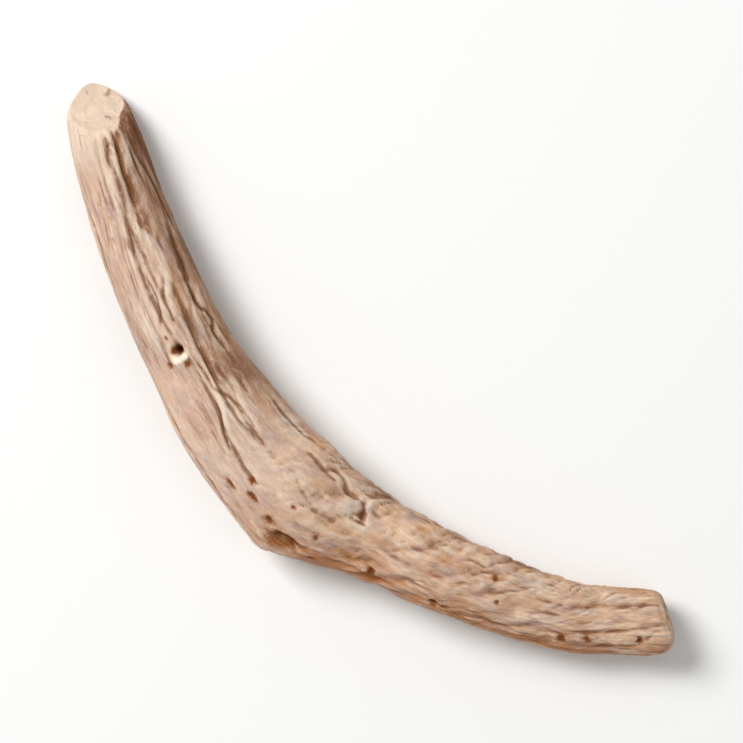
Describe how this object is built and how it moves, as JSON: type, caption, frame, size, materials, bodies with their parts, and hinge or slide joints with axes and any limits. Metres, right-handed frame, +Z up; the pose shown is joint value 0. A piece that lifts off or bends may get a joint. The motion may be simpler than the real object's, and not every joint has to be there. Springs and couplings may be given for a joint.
{
  "type": "dipsacus root",
  "caption": "Dried, cut length of dipsacus root: bent, furrowed, swollen near its middle, with one slanting and one square cut.",
  "frame": {"origin": "middle of the bounding box at the surface that the root lies on", "axes": "+X along the straight line from the pale slanting cut to the far cut, +Y towards the hollow side of the bend, +Z up"},
  "size_m": [0.0928, 0.0276, 0.0113],
  "materials": {
    "dried_root": "matte"
  },
  "bodies": {
    "root": {"root": "dried_root"}
  },
  "joints": []
}
